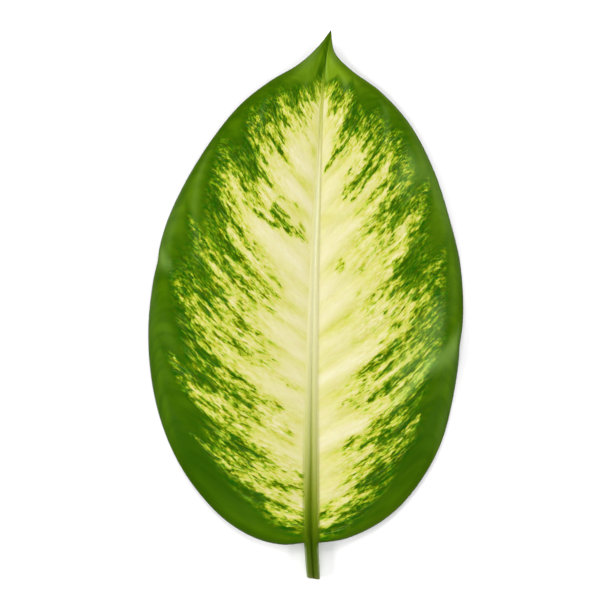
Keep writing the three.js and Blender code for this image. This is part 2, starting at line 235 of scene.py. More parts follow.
RIGHT_MARKS = [
    (2.3, 2, 12, 0.8, 0.5), (4.5, 3, 7, 0.8, 0.45), (4, 12, 20, 0.9, 0.4), (5.5, 10, 24, 0.8, 0.4),
    (7.4, 13, 24, 1.2, 0.35), (7.8, 20, 7.5, 40, 0.9, 0.45), (6.5, 38, 48, 1.4, 0.35),
    (6, 22, 34, 1.2, -0.3), (12, 25, 30, 0.9, 0.5), (13.3, 30, 12.5, 46, 1.2, 0.5),
    (11.7, 50, 60, 1.4, -0.5), (14, 20, 27, 0.9, 0.45), (14.8, 20, 31, 1, 0.45),
    (14.3, 32, 38, 1, 0.4), (16.5, 38, 42, 1, 0.5), (16, 50, 66, 2, 0.3), (17.5, 27, 34, 0.8, 0.45),
    (17.3, 14, 18, 0.7, 0.35), (15.8, 14, 16.2, 18, 0.9, 0.3), (21.5, 35, 21.3, 39, 1, 0.65),
    (22.5, 25, 22.8, 36, 1.4, 0.55), (23.2, 33, 23, 46, 1.2, 0.6), (22.5, 45, 58, 1, 0.5),
    (21.5, 58, 66, 1, 0.5), (24.3, 10, 17, 1.4, 0.35), (25, 20, 23, 1, 0.6),
    (25.6, 25, 38, 1, 0.45), (25, 30, 42, 0.9, 0.35), (27.5, 20, 31, 2, 0.3),
    (28, 32, 28.1, 38, 1.4, 0.8), (27, 32, 35, 1, 0.4), (29.3, 28, 29.5, 40, 0.8, 0.65),
    (28.7, 38, 43, 1, 0.5), (30, 36, 38, 0.7, 0.5), (30.4, 23, 26, 0.8, 0.4),
    (32.2, 36, 32, 42, 1, 0.6), (31.5, 41, 31, 45, 0.9, 0.45), (33, 53, 32.5, 70, 1, 0.6),
    (34.5, 19, 21, 0.8, 0.3), (35.1, 25, 30, 0.8, 0.45), (35.5, 34, 35.6, 38, 0.9, 0.85),
    (34, 33, 36, 1, 0.35), (34.5, 50, 33.5, 56, 1, 0.45), (36, 46, 60, 1.2, 0.4),
    (37.5, 27, 29, 0.9, 0.4), (37.6, 31, 36, 1.1, 0.4), (37.7, 40, 45, 1, 0.45),
    (39, 34, 36, 0.8, 0.5), (39.5, 36, 40, 40, 1, 0.4), (40.5, 39, 40.7, 42, 0.8, 0.45),
    (39, 47, 66, 5.5, 0.5), (41.3, 43, 52, 1.2, 0.5), (42, 52, 43, 68, 1.6, 0.4),
    (42.5, 20, 42.8, 25, 1.2, 0.35), (43, 39, 43.4, 46, 0.8, 0.35), (44.7, 47, 44, 55, 1.4, 0.3),
    (44.5, 56, 59, 0.8, 0.4), (46.7, 25, 28, 1.1, 0.75), (47, 21, 24, 1, 0.3),
    (47.5, 30, 33, 0.7, 0.3), (47, 35, 44, 1, 0.35), (48, 34, 40, 0.9, 0.5),
    (47.5, 45, 47, 0.8, 0.5), (48.5, 45, 60, 1.4, 0.4), (49.8, 11, 17, 1.3, 0.9),
    (51, 13, 15, 1, 0.9), (50, 35, 49.8, 55, 1.4, 0.5), (51.3, 50, 60, 1, 0.5),
    (52, 38, 50, 1.6, 0.3), (53.6, 30, 53.4, 45, 1.3, 0.7), (54.7, 40, 55, 50, 1.2, 0.6),
    (55.7, 50, 56, 60, 1.2, 0.55), (56.7, 40, 57, 50, 1.2, 0.4), (57.7, 43, 57.3, 50, 0.8, 0.4),
    (59, 53, 56, 0.9, 0.6), (59.7, 57, 61, 0.8, 0.5), (60.5, 25, 34, 1.2, 0.75),
    (61, 33, 62.5, 55, 0.9, 0.7), (62.2, 20, 62.5, 34, 1.4, 0.55), (63.3, 35, 63.7, 45, 1, 0.6),
    (64.5, 46, 50, 1, 0.6), (64.5, 50, 57, 1.4, 0.3), (63.8, 21, 23, 0.8, 0.6),
    (65, 34, 36, 0.8, 0.4), (65.5, 39, 48, 0.9, 0.5), (66.2, 27, 66.3, 30, 0.8, 0.7),
    (66, 33, 40, 0.8, 0.35), (67.2, 39, 68, 52, 1, 0.55), (68.5, 44, 47, 0.8, 0.4),
    (69.7, 42, 45, 0.8, 0.5), (71.7, 4, 14, 1, 0.6), (72.2, 13, 72.4, 22, 1.3, 0.9),
    (71.3, 20, 73, 40, 0.9, 0.65), (71.5, 40, 72, 44, 1.4, 0.6), (72, 47, 50, 1.1, 0.6),
    (73.7, 35, 46, 1.6, 0.6), (74.5, 25, 34, 0.9, 0.6), (75.2, 31, 75.3, 41, 0.9, 0.5),
    (73.8, 52, 74.5, 60, 1.4, -0.35), (77, 42, 48, 1.2, -0.35), (78.3, 42, 52, 1, -0.3),
    (80, 47, 80.5, 54, 1, -0.4), (80.5, 26, 34, 0.9, 0.6), (81.8, 10, 81.5, 19, 0.8, 0.6),
    (82.5, 33, 82.8, 45, 1.2, 0.35), (84, 15, 36, 1, 0.5), (86, 10, 20, 0.8, 0.5),
    (79.5, 5, 8, 0.6, 0.5),
]

# Painted sheen: a pale grey-green painted where the waxy surface catches the light. Then places
# where the margin's green is lighter, or deeper where negative, in the same way; at the tip the
# lighter places are painted light on the side that faces the light.
LEFT_PAINTED_SHEEN = [
    (30.5, 78, 25.5, 97, 1.2, 0.16), (33.5, 84, 32, 98, 4, 0.055), (38, 60, 43, 78, 2.5, 0.05),
    (43, 78, 47.5, 90, 2.5, 0.055), (66, 56, 70, 72, 1.5, 0.05), (83, 42, 84, 50, 2, 0.05),
    (88, 55, 90, 75, 4, 0.05), (18, 90, 20, 98, 4, 0.04), (20, 68, 21, 82, 3, 0.025),
    (87, 70, 86, 95, 4, 0.1),
]
RIGHT_PAINTED_SHEEN = [
    (24.5, 40, 23.5, 72, 5, 0.15), (28.5, 50, 27, 70, 4, 0.1), (18.6, 38, 20, 64, 2, 0.34),
    (20, 60, 13.8, 94, 2, 0.22), (54.5, 56, 54, 76, 4.5, 0.14), (52, 74, 48, 86, 4, 0.08),
    (45, 84, 42, 97, 8, 0.07), (37, 90, 35, 98, 4, 0.05), (63, 56, 68, 80, 2, 0.065),
    (81, 52, 83, 66, 2.5, 0.1), (94.5, 0, 89, 22, 1.6, 0.16), (91, 40, 89, 90, 2, 0.08),
    (4, 82, 95, 3, 0.05),
]
# Lighter and deeper green of the margin; the lighter strokes at the tip are painted light.
LEFT_TONE_AND_PAINTED_LIGHT = [
    (93, 30, 91, 90, 9, 0.4), (84, 30, 81, 95, 6, 0.35), (40, 60, 42, 90, 9, 0.2),
    (5, 30, 80, 10, -0.8), (1.8, 0, 12, 3, 0.6),
]
RIGHT_TONE_AND_PAINTED_LIGHT = [
    (95, -10, 90, 25, 2.5, 0.4), (96, -10, 95, 10, 0.45), (88, -10, 84, 95, 9, 0.85),
    (35, 60, 95, 22, 0.25), (6, 30, 7, 80, 8, -0.5), (0, 10, 90, 3, 0.4),
]

# Painted relief: painted highlights where the blade swells between the side veins, which make it
# paler, and painted shade in the hollows, which makes it greener, in the same way, with a few soft
# paler and greener places of its own colour besides. Paler places are negative.
LEFT_RELIEF_SHADE_AND_TONE = [
    (16.5, 6, 30, 3, -0.12), (22, 0, 8, 4, 0.08), (27, 0, 26.5, 25, 2.5, -0.1),
    (31, 3, 30.5, 15, 2, -0.2), (33, 10, 25, 3, 0.15), (35.5, 0, 35, 10, 2, -0.2),
    (38, 5, 37.5, 20, 3, -0.15), (40, 2, 10, 1.5, 0.15), (41.5, 2, 41, 10, 2, -0.12),
    (43.5, 5, 43, 15, 2, 0.15), (47, 0, 46.5, 10, 2.5, -0.15), (53, 2, 52, 35, 5, -0.28),
    (60.75, 0, 60.5, 10, 2, -0.28), (62.7, 0, 62, 15, 2, 0.25), (65.2, 0, 64.5, 25, 3, -0.35),
    (68, 0, 67.5, 15, 3, 0.25), (72, 3, 71, 30, 4, -0.3), (75.5, 0, 75, 10, 2.5, 0.35),
    (81, 0, 80, 15, 4, 0.06), (80, 8, 50, 8, -0.09), (87, -10, 86, 35, 4, -0.08),
    (20, 34, 42, 2.5, 0.12), (26, 58, 68, 3, 0.15), (28, 42, 50, 4, -0.12),
    (41, 26, 34, 2.5, -0.13), (43, 50, 75, 3, -0.14), (53, 50, 58, 2.5, -0.12),
    (70, 50, 66, 3.5, 0.17), (82, 34, 42, 3, -0.13), (51, 64, 74, 2.5, 0.2), (61, 35, 45, 2, -0.12),
    (70, 30, 42, 3, -0.1), (77, 35, 48, 2, -0.12), (79, 45, 58, 2, 0.12), (78, 62, 72, 3, -0.12),
]
RIGHT_RELIEF_SHADE_AND_TONE = [
    (19.3, 0, 18.5, 25, 2.8, -0.35), (22.5, 0, 22, 8, 3, -0.1), (31.5, 0, 30.8, 28, 2.8, -0.42),
    (34, 5, 20, 2, -0.06), (37.4, 5, 37.2, 20, 1.8, -0.22), (39, 8, 38.5, 22, 2.2, 0.1),
    (43, 0, 12, 3, -0.28), (47, 0, 45, 20, 4, -0.3), (57, 0, 56, 28, 4, -0.26), (51, 0, 5, 9, -0.2),
    (61.5, 3, 60.5, 13, 2.5, 0.2), (66.5, 0, 66, 20, 4, -0.18), (70.8, 3, 70.5, 15, 1.5, 0.12),
    (75.5, 3, 74.5, 15, 2.5, -0.28), (79, 3, 78.5, 20, 2.5, 0.06), (40, 40, 80, 25, -0.05),
    (20, 38, 50, 4, 0.2), (59.5, 50, 58, 4, -0.16), (10, 25, 50, 5, 0.05),
    (81, 5, 80, 22, 7, -0.08), (87.5, -10, 30, 4, -0.15), (88, 30, 86, 60, 4, -0.1),
    (4, 10, 26, 3, 0.15), (14, 28, 50, 3, 0.17), (26, 50, 58, 3, 0.15), (33, 50, 58, 4, -0.13),
    (51, 66, 74, 5, -0.13), (53, 34, 50, 3, -0.13), (65, 28, 56, 3, -0.13), (85, 18, 34, 2, 0.14),
    (5, 13, 30, 1.8, 0.16), (11, 20, 45, 2, -0.12), (21, 27, 47, 2, -0.2),
    (26, 46, 26.5, 70, 3, 0.15), (11, 52, 62, 1.5, 0.15),
]

SIDES = {
    -1: {
        "margin": LEFT_MARGIN, "rim": LEFT_RIM, "veins": LEFT_VEINS, "clear": LEFT_CLEAR,
        "solid": LEFT_SOLID, "marks": LEFT_MARKS, "bloom": LEFT_PAINTED_SHEEN, "bright": LEFT_TONE_AND_PAINTED_LIGHT,
        "swells": LEFT_RELIEF_SHADE_AND_TONE,
    },
    1: {
        "margin": RIGHT_MARGIN, "rim": RIGHT_RIM, "veins": RIGHT_VEINS, "clear": RIGHT_CLEAR,
        "solid": RIGHT_SOLID, "marks": RIGHT_MARKS, "bloom": RIGHT_PAINTED_SHEEN, "bright": RIGHT_TONE_AND_PAINTED_LIGHT,
        "swells": RIGHT_RELIEF_SHADE_AND_TONE,
    },
}


def lerp(start, end, share):
    return start + (end - start) * share


def smoothstep(value, start, end):
    share = np.clip((value - start) / (end - start), 0, 1)
    return share * share * (3 - 2 * share)


def eased(stops, at):
    """Values between listed (place, value) stops, level at each stop."""
    places, values = np.array(stops, float).T
    after = np.clip(np.searchsorted(places, at), 1, len(places) - 1)
    share = smoothstep(at, places[after - 1], places[after])
    return lerp(values[after - 1], values[after], share)


class SmoothLine:
    """A centripetal Catmull-Rom curve through points, read by the share of its length."""

    STEPS = 200  # between two of the points

    def __init__(self, points):
        corners = np.array(points, float)
        before, after = 2 * corners[0] - corners[1], 2 * corners[-1] - corners[-2]
        corners = np.vstack([before, corners, after])
        t = np.linspace(0, 1, self.STEPS, endpoint=False)[:, None]
        pieces = []
        for p0, p1, p2, p3 in zip(corners, corners[1:], corners[2:], corners[3:]):
            d0, d1, d2 = (math.sqrt(math.dist(p, q)) for p, q in ((p0, p1), (p1, p2), (p2, p3)))
            leaving = ((p1 - p0) / d0 - (p2 - p0) / (d0 + d1) + (p2 - p1) / d1) * d1
            arriving = ((p2 - p1) / d1 - (p3 - p1) / (d1 + d2) + (p3 - p2) / d2) * d1
            square = 3 * (p2 - p1) - 2 * leaving - arriving
            cube = 2 * (p1 - p2) + leaving + arriving
            pieces.append(p1 + t * (leaving + t * (square + t * cube)))
        self.places = np.vstack([*pieces, corners[-2]])
        steps = np.linalg.norm(np.diff(self.places, axis=0), axis=1)
        lengths = np.concatenate([[0], np.cumsum(steps)])
        self.shares = lengths / lengths[-1]

    def at(self, share):
        share = np.clip(share, 0, 1)
        return np.stack([np.interp(share, self.shares, axis) for axis in self.places.T], -1)

    def heading(self, share):
        near = 1e-4
        step = self.at(share + near) - self.at(share - near)
        return np.arctan2(step[..., 1], step[..., 0])


midrib_line = SmoothLine(MIDRIB_LINE)
margin_lines = {side: SmoothLine(SIDES[side]["margin"]) for side in SIDES}


def midrib_half_width(a):
    return MIDRIB_HALF_WIDTH * (1 - a**MIDRIB_TAPER)


def margin_share(a):
    crowding = VEIN_CROWDING - VEIN_CROWDING_EASE * a * a
    return lerp(BASE_SHARE, 1, 1 - (1 - a) ** crowding)


def along_vein(side, a, r):
    """Points in plan on the side vein that leaves the midrib at "a", and the vein's chord."""
    start = midrib_line.at(a)
    start[..., 0] += side * midrib_half_width(a)
    end = margin_lines[side].at(margin_share(a))
    chord = np.linalg.norm(end - start, axis=-1)[..., None]
    leaving = np.radians(VEIN_LEAVING_ANGLE + VEIN_STEEPENING * a**VEIN_STEEPENING_POWER)
    heading = margin_lines[side].heading(margin_share(a))
    along = np.arctan2(np.sin(heading), side * np.cos(heading))
    along = along - np.radians(VEIN_MARGIN_ANGLE * (1 - a))
    reach = VEIN_HANDLE * chord
    first = start + reach * np.stack([side * np.cos(leaving), np.sin(leaving)], -1)
    second = end - reach * np.stack([side * np.cos(along), np.sin(along)], -1)
    r = r[..., None]
    plan = (1 - r) ** 3 * start + 3 * (1 - r) ** 2 * r * first
    plan = plan + 3 * (1 - r) * r**2 * second + r**3 * end
    return plan, chord[..., 0]


def fold_at(side, x, y):
    """Height of the folds at a point, and how far they pull the margin in."""
    height, pinch = 0, 0
    for fold in FOLDS:
        if fold["side"] != side:
            continue
        start = np.array(fold["from"], float)
        run = np.array(fold["to"], float) - start
        length = np.linalg.norm(run)
        along = ((x - start[0]) * run[0] + (y - start[1]) * run[1]) / length**2
        across = ((x - start[0]) * run[1] - (y - start[1]) * run[0]) / length
        rises = smoothstep(along, 0, 1)
        ridge = np.exp(-((across / FOLD_REACH) ** 2)) * rises
        crest = np.exp(-((across / FOLD_CREST_REACH) ** 2)) * rises
        height = height + fold["height"] * ridge + FOLD_CREST_HEIGHT * crest
        pinch = pinch + fold["pinch"] * ridge * ridge
    return height, pinch


def between_veins(side, a):
    """0 on each side vein and 1 midway between two of them."""
    veins = np.array([0, *SIDES[side]["veins"], 1])
    after = np.clip(np.searchsorted(veins, a, side="right"), 1, len(veins) - 1)
    share = (a - veins[after - 1]) / (veins[after] - veins[after - 1])
    return np.sin(math.pi * np.clip(share, 0, 1)) ** VEIN_RELIEF_POWER


def keel_bottom(a):
    """How far the keel is off the floor."""
    return TIP_LIFT * smoothstep(a, KEEL_LIFT_FROM, 1)


def blade_join(a):
    """Height at which the blade leaves the midrib."""
    return keel_bottom(a) + KEEL_DEPTH * lerp(1, KEEL_TIP_SHARE, a**KEEL_TAPER)


def arch_height(side, a, r, vein_length):
    rim = eased(SIDES[side]["rim"], margin_share(a))
    arch = BLADE_CAMBER * vein_length * 4 * r * (1 - r)
    return lerp(blade_join(a), rim, smoothstep(r, 0, 1)) + arch


def blade_half(side, a, r):
    """One half of the blade on a grid of rows "a" and columns "r": plan, underside, thickness."""
    a, r = np.broadcast_arrays(a[:, None], r[None, :])
    plan, chord = along_vein(side, a, r)
    base_plan, base_chord = along_vein(side, np.zeros_like(a), r)
    to_base = np.clip(1 - a / BASE_FADE, 0, 1) ** 2
    plan = plan + to_base[..., None] * (margin_lines[side].at(BASE_SHARE * r) - base_plan)
    x, y = plan[..., 0], plan[..., 1]
    base_drop = eased(SIDES[side]["rim"], BASE_SHARE * r)
    base_drop = base_drop - arch_height(side, np.zeros_like(a), r, base_chord)
    swelling = smoothstep(r, 0, RELIEF_GROWS_TO) * np.sqrt(1 - a)
    swelling = swelling * (1 - smoothstep(r, RELIEF_FADES_FROM, RELIEF_ENDS_AT))
    relief = VEIN_RELIEF * swelling * (between_veins(side, a) - 0.5) * (1 - to_base)
    fold_height, pinch = fold_at(side, x, y)
    low = arch_height(side, a, r, chord) + to_base * base_drop + relief + fold_height
    thick = lerp(THICKNESS_AT_MARGIN, THICKNESS_AT_MIDRIB, (1 - r) ** THICKNESS_POWER)
    return {"x": x - side * pinch, "y": y, "low": np.maximum(low, 0), "thick": thick}


def strip_section(left, right, bottom, s, crown, groove, roundness):
    """Underside and top of the midrib or petiole between its two edges, at s from -1 to 1."""
    share = (s + 1) / 2
    edge_low = lerp(left["low"], right["low"], share)
    edge_thick = lerp(left["thick"], right["thick"], share)
    middle = edge_low + edge_thick / 2
    curve = np.clip((np.abs(s) - KEEL_FLAT_SHARE) / (1 - KEEL_FLAT_SHARE), 0, 1)
    below = 1 - np.sqrt(1 - curve * curve)
    low = lerp(bottom, lerp(edge_low, middle, roundness), below)
    channel = groove * np.exp(-((s / MIDRIB_GROOVE_REACH) ** 2))
    dome = 1 - s**MIDRIB_SQUARENESS
    flat_top = edge_low + edge_thick + crown * dome
    round_top = middle + (edge_thick / 2 + crown) * np.sqrt(np.clip(dome, 0, 1))
    return low, lerp(flat_top, round_top, roundness) - channel


# The grid of the leaf: rows by "a", columns from the left margin over the midrib to the right.
row_a = (np.arange(ROWS) / ROWS)[:, None]
blade_r = (np.arange(COLUMNS + 1) / COLUMNS) ** COLUMN_CROWDING
inner_s = np.linspace(-1, 1, STRIP_COLUMNS + 1)[1:-1]
halves = {side: blade_half(side, row_a[:, 0], blade_r) for side in SIDES}


def across_leaf(left, middle, right):
    """Rows of the whole leaf from the two halves, given outwards, and the midrib between."""
    return np.concatenate([left[:, ::-1], middle, right], axis=1)


column_r = np.concatenate([blade_r[::-1], 0 * inner_s, blade_r])
column_s = np.concatenate([-np.ones(COLUMNS + 1), inner_s, np.ones(COLUMNS + 1)])
in_blade = np.abs(column_s) == 1
strip = slice(COLUMNS, COLUMNS + STRIP_COLUMNS + 1)

left_edge, right_edge = (
    {name: value[:, :1] for name, value in halves[side].items()} for side in (-1, 1)
)
fineness = 1 - row_a**MIDRIB_FLATTENING
strip_low, strip_top = strip_section(
    left_edge, right_edge, keel_bottom(row_a), inner_s, MIDRIB_CROWN * fineness,
    MIDRIB_GROOVE * fineness, 1 - smoothstep(left_edge["y"], 0, PETIOLE_BLEND),
)
share_inner = (inner_s + 1) / 2
strip_part = {
    "x": lerp(left_edge["x"], right_edge["x"], share_inner),
    "y": lerp(left_edge["y"], right_edge["y"], share_inner),
    "low": strip_low,
    "thick": strip_top - strip_low,
}
x, y, low, thick = (
    across_leaf(halves[-1][name], strip_part[name], halves[1][name])
    for name in ("x", "y", "low", "thick")
)


def distance_to_margin(x, y):
    places = np.vstack([line.places for line in margin_lines.values()])
    tree = KDTree(len(places))
    for index, (px, py) in enumerate(places):
        tree.insert((px, py, 0), index)
    tree.balance()
    distances = [tree.find((px, py, 0))[2] for px, py in zip(x.flat, y.flat)]
    return np.reshape(distances, x.shape)


# The blade thins out round its edge, where its upper and lower faces meet.
edge_distance = distance_to_margin(x, y)
on_edge = np.zeros(x.shape, bool)
on_edge[0, in_blade] = True
on_edge[:, [0, -1]] = True
thinning = np.where(in_blade, np.clip(1 - edge_distance / EDGE_ROUNDING, 0, 1), 0)
thinning[on_edge] = 1
edge_distance[on_edge] = 0
half_thick = thick / 2 * np.sqrt(1 - thinning**2)
top_z = low + thick / 2 + half_thick
low_z = low + thick / 2 - half_thick


def vein_lengths(half):
    """Distance from the midrib's edge along each row of one half."""
    steps = np.hypot(np.diff(half["x"], axis=1), np.diff(half["y"], axis=1))
    return np.concatenate([np.zeros((ROWS, 1)), np.cumsum(steps, axis=1)], axis=1)


def across_scale(half):
    """Millimetres across the veins for each unit of "a", over one half."""
    ax, ay = (np.gradient(half[axis], row_a[:, 0], axis=0) for axis in "xy")
    rx, ry = (np.gradient(half[axis], axis=1) for axis in "xy")
    return np.abs(ax * ry - ay * rx) / np.maximum(np.hypot(rx, ry), 1e-9)


def stroke(scale, mark, softness):
    """How strongly a mark lies on each corner of one half."""
    *ends, half_width, depth = mark
    if len(ends) == 3:
        a, start, end = ends
        ends = a, start, a, end
    a0, r0, a1, r1 = np.array(ends) / 100
    way = np.clip((blade_r - r0) / (r1 - r0), 0, 1)
    across = (row_a - lerp(a0, a1, way)) * scale / half_width
    starts = smoothstep(blade_r, r0 - softness, r0 + softness)
    ends = 1 - smoothstep(blade_r, r1 - softness, r1 + softness)
    return depth * np.exp(-across * across) * starts * ends


def greenness(side):
    """How green one half is, from 0, clear cream, to 1, solid green."""
    half = halves[side]
    a, r = np.broadcast_arrays(row_a, blade_r)
    zones = (np.array(SIDES[side][zone]).T / 100 for zone in ("clear", "solid"))
    clear, solid = (np.interp(a, *zone) for zone in zones)
    way = (r - clear) / np.maximum(solid - clear, NARROWEST_ZONE)
    inner = SPECKLED_LEVEL * (r / np.maximum(clear, 1e-3)) ** FIRST_FLECKS_POWER
    middle = lerp(SPECKLED_LEVEL, GREEN_LEVEL, way)
    outer = np.minimum(GREEN_LEVEL + GREENING * (r - solid), SOLID_LEVEL)
    green = np.where(r < clear, inner, np.where(r < solid, middle, outer))
    # Painted shade beside the foot of the midrib, as extra greenness.
    foot_shade = np.exp(-vein_lengths(half) / MIDRIB_FOOT_SHADE_WIDTH)
    green = green + MIDRIB_FOOT_SHADE * foot_shade * (1 - smoothstep(a, *MIDRIB_FOOT_SHADE_FADE))
    scale = across_scale(half)
    for mark in SIDES[side]["marks"]:
        marked = green + MARK_STRENGTH * stroke(scale, mark, MARK_SOFTNESS)
        limit = np.maximum(green, MARKED_LEVEL) if mark[-1] > 0 else green
        green = np.minimum(marked, limit)
    return green


def summed(side, name):
    """The soft marks of one kind on one half."""
    scale = across_scale(halves[side])
    return sum(stroke(scale, mark, SHEEN_SOFTNESS) for mark in SIDES[side][name])


def on_both_halves(value, *names):
    """A value of both halves over the whole leaf, which runs on over the midrib between them."""
    left, right = (value(side, *names) + np.zeros(x.shape)[:, :COLUMNS + 1] for side in (-1, 1))
    return across_leaf(left, lerp(left[:, :1], right[:, :1], share_inner), right)


# What the material reads at each corner.
green = on_both_halves(greenness)
along = on_both_halves(lambda side: vein_lengths(halves[side]))
bloom = on_both_halves(summed, "bloom")
bright = on_both_halves(summed, "bright")
swells = on_both_halves(summed, "swells")
crest = on_both_halves(lambda side: between_veins(side, row_a))


class LeafMesh:
    """Corners with what the material reads there, and faces with the side they belong to."""

    UPPER, LOWER, CUT = range(3)
    VALUES = ("place", "vein_place", "tone", "painted_light_and_tint", "stem", "edge")
    UV_WIDTH = 0.48  # of each face of the leaf in the UV square
    UV_GAP = 0.01
    UV_CUT_HEIGHT = 0.9  # where the cut end lies, above the leaf's lower face

    def __init__(self):
        self.stores = {name: [] for name in self.VALUES}
        self.faces = []
        self.kinds = []
        self.count = 0

    def add(self, shape, **values):
        """Adds corners in a grid and returns their numbers in the same layout."""
        for name in self.VALUES:
            spread = [np.broadcast_to(part, shape).ravel() for part in values[name]]
            self.stores[name].append(np.stack(spread, -1))
        numbers = self.count + np.arange(math.prod(shape)).reshape(shape)
        self.count += numbers.size
        return numbers

    def sheet(self, numbers, kind):
        corners = numbers[:-1, :-1], numbers[:-1, 1:], numbers[1:, 1:], numbers[1:, :-1]
        quads = np.stack(corners, -1).reshape(-1, 4).tolist()
        self.faces += quads
        self.kinds += [kind] * len(quads)

    def fan(self, rim, centre, kind):
        self.faces += [[p, q, centre] for p, q in zip(rim[:-1].tolist(), rim[1:].tolist())]
        self.kinds += [kind] * (len(rim) - 1)

    def build(self, name):
        """Makes the object, with metres for millimetres, fitted onto the frame's solid."""
        used = np.zeros(self.count, bool)
        used[np.concatenate([np.array(face) for face in self.faces])] = True
        renumber = np.cumsum(used) - 1
        values = {key: np.vstack(store)[used] for key, store in self.stores.items()}
        faces = [[int(renumber[corner]) for corner in face] for face in self.faces]
        places = values["place"]
        lowest, highest = places.min(0), places.max(0)
        scale = (np.array(cad_high) - np.array(cad_low)) / (highest - lowest)
        scale[2] = min(scale[2], MM)
        fitted = np.array(cad_low) + (places - lowest) * scale

        mesh = bpy.data.meshes.new(name)
        mesh.from_pydata(fitted.tolist(), [], faces)
        self.unwrap(mesh, places, faces)
        for key in self.VALUES[1:]:
            layer = mesh.attributes.new(key, "FLOAT_VECTOR", "POINT")
            layer.data.foreach_set("vector", values[key].astype(np.float32).ravel())
        mesh.shade_smooth()
        built = bpy.data.objects.new(name, mesh)
        bpy.context.scene.collection.objects.link(built)
        return built

    def unwrap(self, mesh, places, faces):
        """Lays the upper face in one half of the UV square, the lower one in the other."""
        loops = np.concatenate([np.array(face) for face in faces])
        kinds = np.repeat(self.kinds, [len(face) for face in faces])
        lowest, highest = places.min(0), places.max(0)
        shrink = self.UV_WIDTH / (highest[0] - lowest[0])
        flat = (places[loops, :2] - lowest[:2]) * shrink + self.UV_GAP
        flat[kinds == self.LOWER, 0] += 0.5
        cut = kinds == self.CUT
        flat[cut] = (places[loops][cut][:, [0, 2]] - lowest[[0, 2]]) * shrink + 2 * self.UV_GAP
        flat[cut, 1] += self.UV_CUT_HEIGHT
        layer = mesh.uv_layers.new(name="OFBake")
        layer.data.foreach_set("uv", flat.astype(np.float32).ravel())


leaf_mesh = LeafMesh()
bend = FLECKS_BEND * (np.clip(column_r - FLECKS_BEND_FROM, 0, 1) / (1 - FLECKS_BEND_FROM)) ** 2
shared = {
    "vein_place": (along, (row_a + bend) * LEAF_LENGTH, column_s * SIDE_APART),
    "tone": (green, crest, column_r),
    "painted_light_and_tint": (bloom, bright, swells),
    "stem": (column_s * midrib_half_width(row_a), row_a, ~in_blade),
}
upper = leaf_mesh.add(x.shape, place=(x, y, top_z), edge=(edge_distance, 0, 0), **shared)
lower = leaf_mesh.add(x.shape, place=(x, y, low_z), edge=(edge_distance, 1, 0), **shared)
lower[on_edge] = upper[on_edge]
tip_z = blade_join(1.0) + THICKNESS_AT_MARGIN / 2
tip = leaf_mesh.add(
    (1,), place=(*TIP, tip_z), vein_place=(0, LEAF_LENGTH, 0), tone=(1, 0, 0),
    painted_light_and_tint=(0, 1, 0), stem=(0, 1, 0), edge=(0, 0, 0),
)
for numbers, kind in ((upper, LeafMesh.UPPER), (lower, LeafMesh.LOWER)):
    leaf_mesh.sheet(numbers, kind)
    leaf_mesh.fan(numbers[-1], int(tip[0]), kind)

# The petiole, in closed rings: over the top from left to right and back along the underside.
straight = np.linspace(0, PETIOLE_LENGTH - CUT_ROUNDING, PETIOLE_ROWS + 1)[1:]
rings = [(down, 0, 0) for down in straight]
rings += [(PETIOLE_LENGTH - short, shrink, cut) for short, shrink, cut in CUT_RINGS]
all_s = np.linspace(-1, 1, STRIP_COLUMNS + 1)
joint_edge = {"low": np.array(KEEL_DEPTH), "thick": np.array(THICKNESS_AT_MIDRIB)}
ring_low, ring_top = strip_section(
    joint_edge, joint_edge, 0, all_s, MIDRIB_CROWN, MIDRIB_GROOVE, 1,
)
ring_s = np.concatenate([all_s, all_s[-2:0:-1]])
ring_z = np.concatenate([ring_top, ring_low[-2:0:-1]])
ring_below = np.concatenate([0 * all_s, np.ones(STRIP_COLUMNS - 1)])
core_z = KEEL_DEPTH + THICKNESS_AT_MIDRIB / 2
last_ring = np.concatenate([upper[0, strip], lower[0, strip][-2:0:-1]])
for down, shrink, cut in rings:
    share = down / PETIOLE_LENGTH
    centre = MIDRIB_LINE[0][0] + PETIOLE_SHIFT * share
    half = lerp(MIDRIB_HALF_WIDTH, PETIOLE_END_HALF_WIDTH, share) * (1 - shrink)
    slant = CUT_SLANT * smoothstep(down, PETIOLE_LENGTH - CUT_SLANT_REACH, PETIOLE_LENGTH)
    ring_y = slant * (1 - ring_s * (1 - shrink)) / 2 - down
    ring = leaf_mesh.add(
        ring_s.shape, place=(centre + ring_s * half, ring_y, lerp(ring_z, core_z, shrink)),
        vein_place=(0, -down, ring_s * SIDE_APART), tone=(1, 0.5, 0), painted_light_and_tint=(0, 0, 0),
        stem=(ring_s * half, -down / LEAF_LENGTH, 1), edge=(PETIOLE_FROM_EDGE, ring_below, cut),
    )
    bands = np.stack([np.append(last_ring, last_ring[0]), np.append(ring, ring[0])])
    if cut:
        leaf_mesh.sheet(bands, LeafMesh.CUT)
    else:
        leaf_mesh.sheet(bands[:, :STRIP_COLUMNS + 1], LeafMesh.UPPER)
        leaf_mesh.sheet(bands[:, STRIP_COLUMNS:], LeafMesh.LOWER)
    last_ring = ring
core_y = CUT_SLANT / 2 - PETIOLE_LENGTH + CUT_MIDDLE
core = leaf_mesh.add(
    (1,), place=(MIDRIB_LINE[0][0] + PETIOLE_SHIFT, core_y, core_z),
    vein_place=(0, -PETIOLE_LENGTH, 0), tone=(1, 0.5, 0), painted_light_and_tint=(0, 0, 0),
    stem=(0, -PETIOLE_LENGTH / LEAF_LENGTH, 1), edge=(PETIOLE_FROM_EDGE, 0, 1),
)
leaf_mesh.fan(np.append(last_ring, last_ring[0]), int(core[0]), LeafMesh.CUT)
leaf = leaf_mesh.build("leaf_blade")

outward = bmesh.new()
outward.from_mesh(leaf.data)
bmesh.ops.recalc_face_normals(outward, faces=outward.faces)
outward.to_mesh(leaf.data)
outward.free()


LIGHT_LEVEL = 1.48  # how much brighter than its own colour a matte surface looks here


